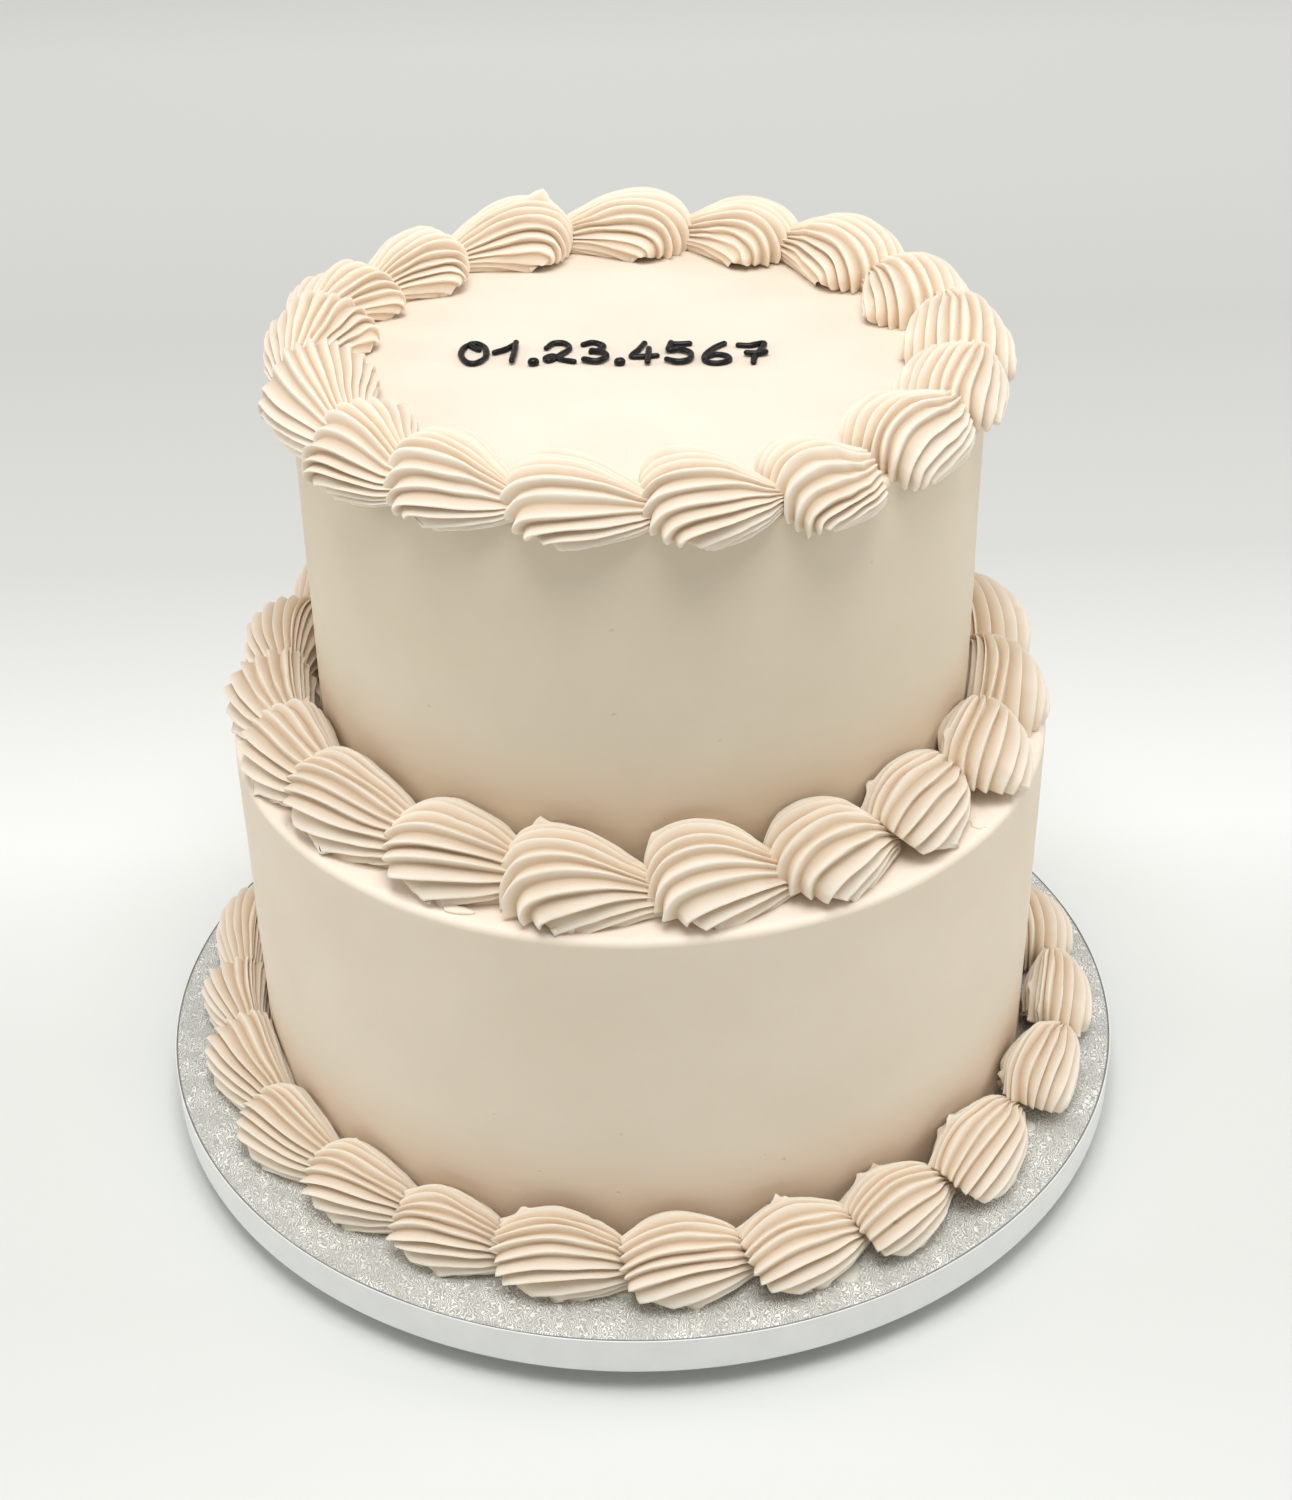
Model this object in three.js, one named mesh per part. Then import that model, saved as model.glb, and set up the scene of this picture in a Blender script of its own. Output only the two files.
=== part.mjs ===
// A two-tier iced cake on its round silver drum, with three rings of piped shells.
// Millimetres, +Z up. The origin lies on the table under the middle of the drum.
import * as THREE from 'three';
import { mergeVertices } from 'three/addons/utils/BufferGeometryUtils.js';

// ---- driving dimensions ----

const gap = 0.3; // clearance between pieces that touch

const board = { diameter: 305, thickness: 12, edgeRound: 0.8 };

const lowerTier = { diameter: 244.6, height: 115, rimRound: 4, x: 1.1, y: 1.6 };
const upperTier = { diameter: 194.4, height: 109, rimRound: 4, x: 2.4, y: 1.6 };

const boardTop = board.thickness;
const lowerTop = boardTop + lowerTier.height;
const upperTop = lowerTop + upperTier.height;

// A ring of shells: the radius of its middle line, the width and height of one shell, the surface
// it lies on, the wall it may lean on, and the angle in degrees that each shell takes, one after
// the other anticlockwise. The icing was piped by hand, so no two are quite alike.
const topRing = {
  name: 'top_shell',
  tier: upperTier,
  middleRadius: 89.5,
  width: 33,
  height: 17.5,
  floor: upperTop,
  wallRadius: 0,
  startAngle: 269,
  spans: [21, 17, 21, 21.5, 23.5, 20, 24.3, 21.3, 23.8, 24.6, 19, 15.5, 21.5, 28, 17, 19.7, 21.3],
};

const ledgeRing = {
  name: 'ledge_shell',
  tier: upperTier,
  middleRadius: 108.5,
  width: 23,
  height: 24,
  floor: lowerTop,
  wallRadius: upperTier.diameter / 2,
  startAngle: 161,
  spans: [16.5, 15.5, 17.5, 20.5, 17, 21, 19, 18, 18, 19.5, 20, 21.5, 22.5, 22.5, 22.5, 22.5, 23, 23],
};

const baseRing = {
  name: 'base_shell',
  tier: lowerTier,
  middleRadius: 132.5,
  width: 22,
  height: 23.5,
  floor: boardTop,
  wallRadius: lowerTier.diameter / 2,
  startAngle: 178,
  spans: [
    12, 17, 15, 14, 14, 16, 15, 15, 15, 16.5, 16, 16.5, 17.8, 17.8, 17.8, 17.8, 17.8, 17.8, 17.8, 17.8,
    17.8, 17.8,
  ],
};

// One shell: flutes stand up as fins with hollows between them, and the sections that carry them
// open like a fan from the head, which lies on the surface, to the upright section at the tail.
const finCount = 7;
const hollowDepth = 0.15; // share of the radius that a hollow goes in
const firstHinge = 0.34; // share of the shell's length from the head's tip to the lying section
const lastHinge = 0.46; // the same to the first upright section
const tailHeight = 0.34; // share of the full height left at the tail
const tailWidth = 0.42; // share of the full width left at the tail
const sectionFullness = 0.8; // below 1 the sections are rounder than an ellipse
const unevenness = 0.06; // how much the shells differ in height and width

const fanSections = [0, 0.35, 0.7, 1]; // share of the quarter turn from lying to upright
const tailSections = [0.45, 1]; // share of the way from the upright section to the tail

const roundSegments = 48;
const rimSegments = 2;

// ---- materials ----

const silverFoil = { color: 0xd5d4d0, roughness: 0.3, metalness: 0.9 };
const smoothIcing = { color: 0xe2d7c5, roughness: 0.6, metalness: 0 };
const pipedIcing = { color: 0xf1e4d0, roughness: 0.55, metalness: 0 };

// ---- shapes ----

function meshOf(name, geometry, finish) {
  const mesh = new THREE.Mesh(geometry, new THREE.MeshStandardMaterial(finish));
  mesh.name = name;
  return mesh;
}

// A solid of revolution about Z from points [radius, z] that start and end on the axis.
function turned(points) {
  const profile = points.map(([radius, z]) => new THREE.Vector2(radius, z));
  const geometry = new THREE.LatheGeometry(profile, roundSegments);
  geometry.rotateX(Math.PI / 2);
  return geometry;
}

// Points of a quarter circle that rounds a rim, from the wall up to the flat top.
function rimArc(radius, top, round) {
  const points = [];
  for (let step = 0; step <= rimSegments; step += 1) {
    const angle = (step / rimSegments) * (Math.PI / 2);
    points.push([radius - round + round * Math.cos(angle), top - round + round * Math.sin(angle)]);
  }
  return points;
}

function makeBoard() {
  const radius = board.diameter / 2;
  const round = board.edgeRound;
  const profile = [
    [0, 0],
    [radius - round, 0],
    [radius, round],
    [radius, boardTop - round],
    [radius - round, boardTop],
    [0, boardTop],
  ];
  return meshOf('board', turned(profile), silverFoil);
}

function makeTier(name, tier, bottom, top) {
  const radius = tier.diameter / 2;
  const foot = bottom + gap;
  const profile = [[0, foot], [radius, foot], ...rimArc(radius, top, tier.rimRound), [0, top]];
  const mesh = meshOf(name, turned(profile), smoothIcing);
  mesh.position.set(tier.x, tier.y, 0);
  return mesh;
}

// A repeatable number from -1 to 1 for the shell with this serial number.
function wobble(serial, salt) {
  const large = 43758.5453 * Math.sin(serial * 12.9898 + salt * 78.233);
  return 2 * (large - Math.floor(large)) - 1;
}

// The sections of a shell from head to tail. Each has the place of its hinge along the shell, the
// angle its plane has opened, and its reach and half width.
function shellSections(length, width, height) {
  const headReach = firstHinge * length;
  const sections = fanSections.map((share) => {
    const opened = share * (Math.PI / 2);
    const away = Math.hypot(Math.cos(opened) / headReach, Math.sin(opened) / height);
    const along = length * THREE.MathUtils.lerp(firstHinge, lastHinge, share);
    return { along, opened, reach: 1 / away, halfWidth: width / 2 };
  });
  const upright = length * lastHinge;
  for (const share of tailSections) {
    const ease = share * share * (3 - 2 * share);
    sections.push({
      along: upright + share * (length - upright),
      opened: Math.PI / 2,
      reach: height * (1 - ease * (1 - tailHeight)),
      halfWidth: (width / 2) * (1 - ease * (1 - tailWidth)),
    });
  }
  return sections;
}

// One piped shell between two angles of its ring, as a closed fluted body with a flat underside.
function shellGeometry(ring, startAngle, span, serial) {
  const radius = ring.middleRadius;
  const wall = ring.wallRadius > 0 ? ring.wallRadius + 2 * gap : 0;
  const endGap = gap / 2 / (radius - ring.width / 2);
  const firstAngle = THREE.MathUtils.degToRad(startAngle) + endGap;
  const length = (THREE.MathUtils.degToRad(span) - 2 * endGap) * radius;
  const width = ring.width * (1 + unevenness * wobble(serial, 1));
  const height = ring.height * (1 + unevenness * wobble(serial, 2));
  const floor = ring.floor + gap;
  const across = 2 * finCount - 1; // fins and hollows by turns, with a fin at each side
  const sections = shellSections(length, width, height);

  const positions = [];
  const place = (along, offset, up) => {
    const angle = firstAngle + along / radius;
    const out = Math.max(radius + offset, wall);
    positions.push(out * Math.cos(angle), out * Math.sin(angle), floor + up);
  };
  for (const section of sections) {
    for (let i = 0; i < across; i += 1) {
      const turn = (i / (across - 1)) * Math.PI;
      const size = i % 2 === 0 ? 1 : 1 - hollowDepth;
      const rise = size * section.reach * Math.sin(turn) ** sectionFullness;
      const back = rise * Math.cos(section.opened);
      const offset = size * section.halfWidth * Math.cos(turn);
      place(section.along - back, offset, rise * Math.sin(section.opened));
    }
  }
  const middle = positions.length / 3; // a point of the underside, between the first two sections
  place((sections[0].along + sections[1].along) / 2, 0, 0);

  const faces = [];
  const last = sections.length - 1;
  for (let s = 0; s < last; s += 1) {
    for (let i = 0; i < across - 1; i += 1) {
      const a = s * across + i;
      const b = a + across;
      faces.push(a, b, a + 1, a + 1, b, b + 1);
    }
  }
  // The underside: a fan under the head, then strips between the two feet of each section.
  const rim = [...Array(across).keys(), 2 * across - 1, across];
  rim.forEach((point, i) => faces.push(middle, point, rim[(i + 1) % rim.length]));
  for (let s = 1; s < last; s += 1) {
    const a = s * across;
    const b = a + across;
    faces.push(a, a + across - 1, b, b, a + across - 1, b + across - 1);
  }
  // The cut end at the tail.
  for (let i = 1; i < across - 1; i += 1) {
    faces.push(last * across, last * across + i + 1, last * across + i);
  }

  const geometry = new THREE.BufferGeometry();
  geometry.setAttribute('position', new THREE.Float32BufferAttribute(positions, 3));
  geometry.setIndex(faces);
  return geometry;
}

function makeRing(ring) {
  const group = new THREE.Group();
  group.position.set(ring.tier.x, ring.tier.y, 0);
  let angle = ring.startAngle;
  ring.spans.forEach((span, index) => {
    const number = String(index + 1).padStart(2, '0');
    const geometry = shellGeometry(ring, angle, span, index + ring.middleRadius);
    group.add(meshOf(`${ring.name}_${number}`, geometry, pipedIcing));
    angle += span;
  });
  return group;
}

// ---- the cake ----

const cake = new THREE.Group();
cake.add(makeBoard());
cake.add(makeTier('lower_tier', lowerTier, boardTop, lowerTop));
cake.add(makeTier('upper_tier', upperTier, lowerTop, upperTop));
cake.add(makeRing(topRing));
cake.add(makeRing(ledgeRing));
cake.add(makeRing(baseRing));

export default cake;
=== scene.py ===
import math
import bpy
import numpy as np
from mathutils import Matrix, Vector


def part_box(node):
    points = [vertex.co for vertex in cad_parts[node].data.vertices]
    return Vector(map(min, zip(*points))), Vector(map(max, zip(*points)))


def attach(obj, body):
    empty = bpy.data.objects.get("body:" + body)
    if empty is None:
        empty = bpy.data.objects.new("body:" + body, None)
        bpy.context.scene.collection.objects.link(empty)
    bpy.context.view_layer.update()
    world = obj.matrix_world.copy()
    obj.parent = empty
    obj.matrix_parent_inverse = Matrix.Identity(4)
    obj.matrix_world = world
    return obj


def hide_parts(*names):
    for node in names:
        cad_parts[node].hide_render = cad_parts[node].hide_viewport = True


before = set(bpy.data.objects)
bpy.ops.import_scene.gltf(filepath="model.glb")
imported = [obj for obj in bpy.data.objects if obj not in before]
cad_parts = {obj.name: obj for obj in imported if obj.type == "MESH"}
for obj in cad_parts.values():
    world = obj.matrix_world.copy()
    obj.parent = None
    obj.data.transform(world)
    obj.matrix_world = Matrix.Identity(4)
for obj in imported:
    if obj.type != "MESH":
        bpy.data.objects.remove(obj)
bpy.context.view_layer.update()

scene = bpy.context.scene


# Quads and triangles in one mesh. Six times the volume is the sum over the triangles of
# a . (b x c), and where it is below zero every face is turned round.
def closedMesh(name, points, quads, triangles, fins=None):
    allTriangles = np.concatenate([quads[:, [0, 1, 2]], quads[:, [0, 2, 3]], triangles])
    a, b, c = (points[allTriangles[:, i]] for i in range(3))
    if np.einsum("ij,ij->i", a, np.cross(b, c)).sum() < 0:
        quads, triangles = quads[:, ::-1], triangles[:, ::-1]
    mesh = bpy.data.meshes.new(name)
    corners = np.concatenate([quads.ravel(), triangles.ravel()]).astype(np.int32)
    starts = np.concatenate([np.arange(len(quads)) * 4, len(quads) * 4 + np.arange(len(triangles)) * 3])
    mesh.vertices.add(len(points))
    mesh.vertices.foreach_set("co", points.astype(np.float32).ravel())
    mesh.loops.add(len(corners))
    mesh.loops.foreach_set("vertex_index", corners)
    mesh.polygons.add(len(starts))
    mesh.polygons.foreach_set("loop_start", starts.astype(np.int32))
    mesh.update(calc_edges=True)
    mesh.validate()
    mesh.polygons.foreach_set("use_smooth", np.ones(len(mesh.polygons), bool))
    if fins is not None:
        layer = mesh.attributes.new("fin", "FLOAT", "POINT")
        layer.data.foreach_set("value", fins.astype(np.float32))
    return mesh


# A grid of points, rows by columns, closed round its columns, whose first and last rows are
# capped with triangles that meet in their middle points.
def tubeMesh(name, grid, fins=None):
    rows, cols = grid.shape[:2]
    points = np.concatenate([grid.reshape(-1, 3), grid[0].mean(0)[None], grid[-1].mean(0)[None]])
    index = np.arange(rows * cols).reshape(rows, cols)
    right = np.roll(index, -1, axis=1)
    quads = np.stack([index[:-1], right[:-1], right[1:], index[1:]], -1).reshape(-1, 4)
    first, last = index[0], index[-1]
    firstCap = np.stack([np.roll(first, -1), first, np.full(cols, rows * cols)], -1)
    lastCap = np.stack([last, np.roll(last, -1), np.full(cols, rows * cols + 1)], -1)
    if fins is not None:
        fins = np.concatenate([fins.ravel(), [fins[0].mean(), fins[-1].mean()]])
    return closedMesh(name, points, quads, np.concatenate([firstCap, lastCap]), fins)


# Puts a mesh into the scene as a piece that rides with the cake.
def addPiece(name, mesh, material, slot, *nodes):
    piece = bpy.data.objects.new(name, mesh)
    scene.collection.objects.link(piece)
    mesh.materials.append(material)
    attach(piece, "root")
    if nodes:
        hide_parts(*nodes)


# Three times x squared less twice x cubed, with x held between 0 and 1.
def smoothStep(x):
    x = np.clip(x, 0, 1)
    return x * x * (3 - 2 * x)


# A sum of sines of the axes in random directions with random phases, each wave finer and lower
# than the last, about -1 to 1.
def slowNoise(rng, *axes, waves=4):
    total = 0
    for wave in range(1, waves + 1):
        slopes = rng.uniform(-1, 1, len(axes)) * wave * 2.2
        phase = rng.uniform(0, 2 * math.pi)
        total = total + np.sin(sum(slope * axis for slope, axis in zip(slopes, axes)) + phase) / wave
    return total / 2


def newMaterial(name):
    material = bpy.data.materials.new(name)
    material.use_nodes = True
    tree = material.node_tree
    tree.nodes.clear()
    out = tree.nodes.new("ShaderNodeOutputMaterial")
    shader = tree.nodes.new("ShaderNodeBsdfPrincipled")
    tree.links.new(shader.outputs[0], out.inputs[0])
    return material, tree, shader


def objectPlace(tree):
    return tree.nodes.new("ShaderNodeTexCoord").outputs["Object"]


# The X, Y or Z of a place or direction.
def axisOf(tree, vector, axis):
    split = tree.nodes.new("ShaderNodeSeparateXYZ")
    tree.links.new(vector, split.inputs["Vector"])
    return split.outputs[axis]


# Brings a value from between low and high to between 0 and 1.
def spread(tree, value, low, high, kind="LINEAR"):
    node = tree.nodes.new("ShaderNodeMapRange")
    node.interpolation_type = kind
    node.inputs["From Min"].default_value = low
    node.inputs["From Max"].default_value = high
    tree.links.new(value, node.inputs["Value"])
    return node.outputs["Result"]


def objectNoise(tree, scale, detail=3.0, stretch=(1, 1, 1)):
    mapping = tree.nodes.new("ShaderNodeMapping")
    mapping.inputs["Scale"].default_value = stretch
    noise = tree.nodes.new("ShaderNodeTexNoise")
    noise.inputs["Scale"].default_value = scale
    noise.inputs["Detail"].default_value = detail
    tree.links.new(objectPlace(tree), mapping.inputs["Vector"])
    tree.links.new(mapping.outputs["Vector"], noise.inputs["Vector"])
    return noise.outputs["Fac"]


# Colours at rising places between 0 and 1.
def ramp(tree, source, places, colours):
    node = tree.nodes.new("ShaderNodeValToRGB")
    while len(node.color_ramp.elements) < len(places):
        node.color_ramp.elements.new(0.5)
    for element, position, colour in zip(node.color_ramp.elements, places, colours):
        element.position = position
        element.color = (*colour, 1)
    tree.links.new(source, node.inputs[0])
    return node.outputs["Color"]


def bump(tree, shader, height, strength, distance, under=None):
    node = tree.nodes.new("ShaderNodeBump")
    node.inputs["Strength"].default_value = strength
    node.inputs["Distance"].default_value = distance
    tree.links.new(height, node.inputs["Height"])
    if under:
        tree.links.new(under, node.inputs["Normal"])
    tree.links.new(node.outputs["Normal"], shader.inputs["Normal"])
    return node.outputs["Normal"]


# Multiplies two colours.
def multiply(tree, first, second):
    mix = tree.nodes.new("ShaderNodeMix")
    mix.data_type = "RGBA"
    mix.blend_type = "MULTIPLY"
    mix.inputs["Factor"].default_value = 1
    tree.links.new(first, mix.inputs["A"])
    tree.links.new(second, mix.inputs["B"])
    return mix.outputs["Result"]


# Multiplies the colour a shader has by another one.
def tint(tree, shader, colour):
    socket = shader.inputs["Base Color"]
    tree.links.new(multiply(tree, socket.links[0].from_socket, colour), socket)


# Piped and smooth icing take painted light and shade from which way a face turns. Piped icing is
# painted deeper in colour where it faces up and painted darker where shade falls in the hollows
# between its fins. Smooth icing is multiplied by the foot colour, a painted shade, near its tier's foot,
# up to the second of the fade heights, and any icing by the patch shade in faint patches.
icingLook = {
    "pipedTop": (0.755, 0.67, 0.57), "pipedSide": (0.98, 0.90, 0.775),
    "pipedUnder": (0.97, 0.875, 0.745), "hollow": (0.74, 0.62, 0.495), "hollowEnds": 0.9,
    "smoothTop": (0.765, 0.67, 0.57), "upperSide": (0.79, 0.69, 0.54),
    "ledge": (0.86, 0.76, 0.66), "lowerSide": (0.84, 0.74, 0.60),
    "foot": (0.98, 0.90, 0.84), "footShadeFade": (0.016, 0.046), "paintedFacing": (0, 0.3, 0.95),
    "patch": (0.965, 0.95535, 0.93605), "patchScale": 22, "patchLevels": (0.35, 0.65), "shine": 0.35,
    "glow": 0.12, "glowDepth": 0.0012, "glowColour": (1.0, 0.6, 0.35),
    "pipedRough": 0.5, "smoothRough": 0.6, "pipedGrain": 0.12, "smoothGrain": 0.10,
    "grainScale": 700, "grainDeep": 0.0002,
    "scrapeScale": 60, "scrapeStretch": (0.3, 1, 4), "scrape": 0.25, "scrapeDeep": 0.0006,
    "pitScale": 55, "pitSize": 0.045, "pit": 0.6, "pitDeep": 0.0005,
}


# The colour follows how far a face is turned up: under, side, top, painting light and shade by how
# the face is turned.
def makeIcing(name, upColour, sideColour, underColour, roughness, grain):
    material, tree, shader = newMaterial(name)
    up = axisOf(tree, tree.nodes.new("ShaderNodeNewGeometry").outputs["Normal"], "Z")
    paintedFacing = ramp(tree, up, icingLook["paintedFacing"], (underColour, sideColour, upColour))
    patches = ramp(tree, objectNoise(tree, icingLook["patchScale"]), icingLook["patchLevels"],
                   (icingLook["patch"], (1, 1, 1)))
    tree.links.new(multiply(tree, paintedFacing, patches), shader.inputs["Base Color"])
    shader.inputs["Roughness"].default_value = roughness
    shader.inputs["Specular IOR Level"].default_value = icingLook["shine"]
    shader.inputs["Subsurface Weight"].default_value = icingLook["glow"]
    shader.inputs["Subsurface Radius"].default_value = icingLook["glowColour"]
    shader.inputs["Subsurface Scale"].default_value = icingLook["glowDepth"]
    grains = objectNoise(tree, icingLook["grainScale"], 4)
    fine = bump(tree, shader, grains, grain, icingLook["grainDeep"])
    return material, tree, shader, fine


def makePipedIcing():
    material, tree, shader, _ = makeIcing(
        "pipedIcing", icingLook["pipedTop"], icingLook["pipedSide"], icingLook["pipedUnder"],
        icingLook["pipedRough"], icingLook["pipedGrain"])
    # painted shade: a darker, warmer colour in the hollows between the fins, by the fin attribute
    fin = tree.nodes.new("ShaderNodeAttribute")
    fin.attribute_name = "fin"
    tint(tree, shader, ramp(tree, fin.outputs["Fac"], (0, icingLook["hollowEnds"]),
                            (icingLook["hollow"], (1, 1, 1))))
    return material


pipedIcing = makePipedIcing()


# Sparse round dots where the distance to the nearest scattered point is small.
def sparseDots(tree, scale, size):
    cells = tree.nodes.new("ShaderNodeTexVoronoi")
    cells.inputs["Scale"].default_value = scale
    tree.links.new(objectPlace(tree), cells.inputs["Vector"])
    return ramp(tree, cells.outputs["Distance"], (0, size), ((0, 0, 0), (1, 1, 1)))


# Smooth icing has faint level scrapes, a few pits, and a painted shade near the foot.
def makeSmoothIcing(name, upColour, sideColour, node):
    material, tree, shader, grain = makeIcing(name, upColour, sideColour, sideColour,
                                              icingLook["smoothRough"], icingLook["smoothGrain"])
    scrapes = objectNoise(tree, icingLook["scrapeScale"], 3, icingLook["scrapeStretch"])
    scraped = bump(tree, shader, scrapes, icingLook["scrape"], icingLook["scrapeDeep"], grain)
    pits = sparseDots(tree, icingLook["pitScale"], icingLook["pitSize"])
    bump(tree, shader, pits, icingLook["pit"], icingLook["pitDeep"], scraped)
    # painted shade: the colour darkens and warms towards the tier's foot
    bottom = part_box(node)[0].z
    upward = spread(tree, axisOf(tree, objectPlace(tree), "Z"), bottom + icingLook["footShadeFade"][0],
                    bottom + icingLook["footShadeFade"][1], "SMOOTHSTEP")
    tint(tree, shader, ramp(tree, upward, (0, 1), (icingLook["foot"], (1, 1, 1))))
    return material


upperIcing = makeSmoothIcing("upperIcing", icingLook["smoothTop"], icingLook["upperSide"], "upper_tier")
lowerIcing = makeSmoothIcing("lowerIcing", icingLook["ledge"], icingLook["lowerSide"], "lower_tier")

# Plain finishes: two close colours mixed by noise between two of its levels, and a fine bump. The
# noise is a scale and a detail, and the bump adds a strength and a depth. thinIcing is a film half
# see-through to the foil, so greyer than a thick one.
plainLooks = {
    "thinIcing": {"dark": (0.60, 0.59, 0.515), "light": (0.69, 0.68, 0.59), "noise": (350, 3),
                  "levels": (0.35, 0.65), "rough": 0.5, "bump": (600, 3, 0.2, 0.0003)},
    "bandFoil": {"dark": (0.80, 0.805, 0.79), "light": (0.85, 0.855, 0.84), "noise": (90, 4),
                 "levels": (0.3, 0.7), "rough": 0.42, "metal": 0.12,
                 "bump": (500, 3, 0.2, 0.0003)},
    "seamDark": {"dark": (0.20, 0.20, 0.195), "light": (0.27, 0.27, 0.26), "noise": (250, 3),
                 "levels": (0.3, 0.7), "rough": 0.7},
    "blackIcing": {"dark": (0.005, 0.005, 0.0055), "light": (0.012, 0.012, 0.013),
                   "noise": (300, 3), "levels": (0.3, 0.7), "rough": 0.3, "shine": 0.22,
                   "bump": (900, 2, 0.25, 0.0003)},
}


def makePlain(name):
    look = plainLooks[name]
    material, tree, shader = newMaterial(name)
    colour = ramp(tree, objectNoise(tree, *look["noise"]), look["levels"], (look["dark"], look["light"]))
    tree.links.new(colour, shader.inputs["Base Color"])
    shader.inputs["Roughness"].default_value = look["rough"]
    shader.inputs["Metallic"].default_value = look.get("metal", 0)
    shader.inputs["Specular IOR Level"].default_value = look.get("shine", 0.5)
    if "bump" in look:
        scale, detail, strength, depth = look["bump"]
        bump(tree, shader, objectNoise(tree, scale, detail), strength, depth)
    return material


thinIcing = makePlain("thinIcing")
bandFoil = makePlain("bandFoil")
seamDark = makePlain("seamDark")
blackIcing = makePlain("blackIcing")

# The lightest colour paints the glints of the embossed curls; field is the foil's own grey.
foilLook = {
    "line": (1.0, 0.995, 0.97), "field": (0.495, 0.505, 0.472), "metal": 0.25, "rough": 0.38,
    "curl": 300, "bend": 20, "bendDetail": 1.0, "bendScale": 1.5, "curlLevels": (0.44, 0.60),
    "stand": 1.0, "relief": 0.0005,
    "patch": 130, "patchLevels": (0.38, 0.60), "faint": (0.5, 0.5, 0.5),
}


# Embossed foil: waves of light and dark bands, bent until they break up into short curls of painted
# glint, which stand out more in some patches than in others, and which also raise the foil's bump.
def makeFoil():
    material, tree, shader = newMaterial("embossedFoil")
    waves = tree.nodes.new("ShaderNodeTexWave")
    waves.inputs["Scale"].default_value = foilLook["curl"]
    waves.inputs["Distortion"].default_value = foilLook["bend"]
    waves.inputs["Detail"].default_value = foilLook["bendDetail"]
    waves.inputs["Detail Scale"].default_value = foilLook["bendScale"]
    tree.links.new(objectPlace(tree), waves.inputs["Vector"])
    curls = ramp(tree, waves.outputs["Fac"], foilLook["curlLevels"], ((0, 0, 0), (1, 1, 1)))
    patches = ramp(tree, objectNoise(tree, foilLook["patch"], 2), foilLook["patchLevels"],
                   (foilLook["faint"], (1, 1, 1)))
    ridges = multiply(tree, curls, patches)
    colour = ramp(tree, ridges, (0, 1), (foilLook["field"], foilLook["line"]))
    tree.links.new(colour, shader.inputs["Base Color"])
    shader.inputs["Metallic"].default_value = foilLook["metal"]
    shader.inputs["Roughness"].default_value = foilLook["rough"]
    bump(tree, shader, ridges, foilLook["stand"], foilLook["relief"])
    return material


embossedFoil = makeFoil()

print("materials ready")


# Lengths in metres. lean and taper run round the ring from its first shell. lean is the angle in
# degrees at which a shell's head starts: at and below zero the head is a round dome that curls in
# under itself, and towards 55 it ends in a blunt edge. taper is the size of the tail against the
# head. widestAt is the height of the widest place as a share of the whole. wall is the radius of
# the side that shells are pressed against, or 0. overRim and skirt are how far a shell and its hem
# hang over the rim. tailShift moves tails outwards and headOver lengthens heads. innerRaise, in
# degrees, and innerReach lift and widen the half near the wall, and crown, a share of the half
# width, moves the top towards it. flare and tip move the ends of the crests out and in, and
# finRound blunts the crests. adjust changes single shells, by their number: outward, head and tail
# move or lengthen them, slide moves them along the ring towards the tail, shift takes the place of
# tailShift, tall and wide multiply, and peak is the crest and the row of a torn tip.
topRing = {
    "prefix": "top_shell", "tier": "upper_tier", "seed": 11,
    "midRadius": 0.0892, "halfWidth": 0.0168, "height": 0.0180, "widestAt": 0.32,
    "wall": 0, "overRim": 0.0045, "skirt": 0.0032, "tailShift": 0.0030, "headOver": 0.0040,
    "innerRaise": 0, "innerReach": 0, "crown": 0,
    "flare": 0.0003, "tip": 0.0012, "finRound": 0.22, "finDepth": 0.0026,
    "lean": [0, -30, -15, -10, -25, -20, -15, -10, -15, -10, 0, -16, -26, -26, -20, -4, 2],
    "taper": [0.46, 0.70, 0.72, 0.70, 0.62, 0.55, 0.50, 0.46, 0.44, 0.38, 0.36, 0.44, 0.50, 0.58,
              0.56, 0.48, 0.46],
    "adjust": {
        1: {"tail": -0.0035},
        2: {"head": -0.0020, "tail": -0.0060, "wide": 1.02, "outward": 0.0010},
        3: {"head": -0.0040, "tail": -0.0040, "wide": 0.90, "slide": 0.0010},
        4: {"head": -0.0015, "tail": -0.0045, "wide": 0.88, "outward": -0.0005, "slide": 0.0040},
        5: {"head": -0.0030, "wide": 0.94, "tall": 0.95},
        6: {"outward": -0.0025},
        10: {"peak": (-1.0, 0.30)},
        11: {"tail": 0.0040},
        12: {"head": -0.0035, "wide": 1.18, "tall": 1.05, "outward": 0.0060},
        13: {"head": -0.0040, "outward": 0.0018},
        14: {"head": -0.0020},
        15: {"outward": 0.0015},
        16: {"tall": 0.93},
        17: {"tall": 0.90},
    },
}
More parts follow.
